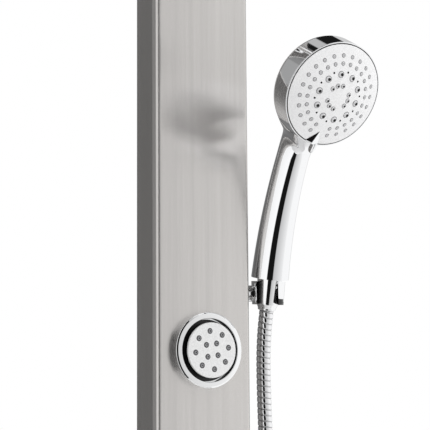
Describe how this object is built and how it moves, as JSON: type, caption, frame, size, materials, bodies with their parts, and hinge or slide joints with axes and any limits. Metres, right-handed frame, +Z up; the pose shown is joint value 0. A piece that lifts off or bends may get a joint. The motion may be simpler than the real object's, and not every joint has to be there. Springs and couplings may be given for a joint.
{
  "type": "rainfall shower column",
  "caption": "Wall-hung brushed steel shower column with an overhead rain head, swivelling body jets, a lever mixer, a diverter and a hand shower on a steel hose.",
  "frame": {"origin": "centre of the four wall fixings, on the wall's face", "axes": "+Z up along the panel, -Y out of the wall towards the user, +X to the right as the user faces the panel"},
  "size_m": [0.226, 0.455, 1.613],
  "materials": {
    "brushed_panel": "vertical brushed grain",
    "steel": "plain rolled stainless steel",
    "chrome": "polished chrome plate",
    "chrome_shell": "polished chrome plate on moulded plastic",
    "brass": "turned brass",
    "white_plastic": "fine satin moulded plastic",
    "pearl_plastic": "pale grey satin moulded plastic",
    "black_plastic": "dark moulded plastic",
    "grey_silicone": "soft grey silicone",
    "seal": "low-friction seat ring",
    "hose_steel": "interlocked stainless steel strip"
  },
  "bodies": {
    "root": {"panel_shell": "brushed_panel", "top_cap": "brushed_panel", "bottom_cap": "brushed_panel", "wall_bracket_top": "steel", "wall_bracket_bottom": "steel", "hang_rail_top": "steel", "hang_rail_bottom": "steel", "jet_ring_top": "chrome", "jet_ring_middle": "chrome", "jet_ring_bottom": "chrome", "jet_housings": "black_plastic", "jet_retainers": "black_plastic", "jet_lock_nuts": "white_plastic", "jet_manifold": "steel", "riser_pipe": "steel", "handset_pipe": "steel", "mixed_water_pipe": "steel", "mixer_body": "brass", "mixer_cartridge": "white_plastic", "mixer_plate": "chrome", "inlet_hot": "brass", "inlet_cold": "brass", "diverter_body": "brass", "diverter_plate": "chrome", "arm_elbow": "brass", "arm_rose": "chrome", "rain_arm": "chrome", "rain_ball_stud": "chrome", "handset_holder": "chrome", "holder_screw": "steel", "hose": "hose_steel", "hose_nut_lower": "chrome", "hose_outlet": "brass", "outlet_locknut": "brass"},
    "handset": {"handset_body": "chrome_shell", "handset_rim": "chrome_shell", "hose_nut_upper": "chrome"},
    "spray_selector": {"spray_face": "pearl_plastic", "selector_lever": "chrome", "spray_nozzles": "grey_silicone", "spray_jets": "grey_silicone"},
    "mixer_turn": {"mixer_cap": "chrome", "lever_pin": "steel"},
    "mixer_handle": {"mixer_lever": "chrome"},
    "diverter": {"diverter_knob": "chrome", "diverter_spindle": "brass"},
    "rain_swivel": {"rain_seat": "seal"},
    "rain_head": {"swivel_nut": "chrome", "rain_cover": "chrome", "rain_plate": "chrome", "rain_nozzles": "grey_silicone"},
    "jet_top_seat": {"jet_seat_top": "seal"},
    "jet_top": {"jet_face_top": "white_plastic", "jet_nozzles_top": "grey_silicone"},
    "jet_middle_seat": {"jet_seat_middle": "seal"},
    "jet_middle": {"jet_face_middle": "white_plastic", "jet_nozzles_middle": "grey_silicone"},
    "jet_bottom_seat": {"jet_seat_bottom": "seal"},
    "jet_bottom": {"jet_face_bottom": "white_plastic", "jet_nozzles_bottom": "grey_silicone"}
  },
  "joints": [
    {"name": "handset_lift", "type": "slide", "parent": "root", "child": "handset", "axis": [0, -0.2079, 0.9781], "range_m": [0, 0.06]},
    {"name": "spray_turn", "type": "hinge", "parent": "handset", "child": "spray_selector", "pos_m": [0.076, -0.1458, 0.3818], "axis": [0, -0.8771, -0.4802], "range_deg": [-30, 50]},
    {"name": "jet_top_spin", "type": "hinge", "parent": "root", "child": "jet_top_seat", "pos_m": [0, -0.035, 0.15], "axis": [0, -1, 0], "continuous": true},
    {"name": "jet_top_tilt", "type": "hinge", "parent": "jet_top_seat", "child": "jet_top", "pos_m": [0, -0.035, 0.15], "axis": [1, 0, 0], "range_deg": [-12, 12]},
    {"name": "jet_middle_spin", "type": "hinge", "parent": "root", "child": "jet_middle_seat", "pos_m": [0, -0.035, -0.01], "axis": [0, -1, 0], "continuous": true},
    {"name": "jet_middle_tilt", "type": "hinge", "parent": "jet_middle_seat", "child": "jet_middle", "pos_m": [0, -0.035, -0.01], "axis": [1, 0, 0], "range_deg": [-12, 12]},
    {"name": "jet_bottom_spin", "type": "hinge", "parent": "root", "child": "jet_bottom_seat", "pos_m": [0, -0.035, -0.17], "axis": [0, -1, 0], "continuous": true},
    {"name": "jet_bottom_tilt", "type": "hinge", "parent": "jet_bottom_seat", "child": "jet_bottom", "pos_m": [0, -0.035, -0.17], "axis": [1, 0, 0], "range_deg": [-12, 12]},
    {"name": "mixer_turn", "type": "hinge", "parent": "root", "child": "mixer_turn", "pos_m": [0, -0.04, -0.46], "axis": [0, -1, 0], "range_deg": [-45, 45]},
    {"name": "mixer_lift", "type": "hinge", "parent": "mixer_turn", "child": "mixer_handle", "pos_m": [0, -0.065, -0.46], "axis": [-1, 0, 0], "range_deg": [0, 25]},
    {"name": "diverter_turn", "type": "hinge", "parent": "root", "child": "diverter", "pos_m": [0, -0.04, -0.33], "axis": [0, -1, 0], "range_deg": [-90, 90]},
    {"name": "rain_spin", "type": "hinge", "parent": "root", "child": "rain_swivel", "pos_m": [0, -0.355, 0.525], "axis": [0, 0, 1], "continuous": true},
    {"name": "rain_tilt", "type": "hinge", "parent": "rain_swivel", "child": "rain_head", "pos_m": [0, -0.355, 0.525], "axis": [1, 0, 0], "range_deg": [-15, 15]}
  ]
}
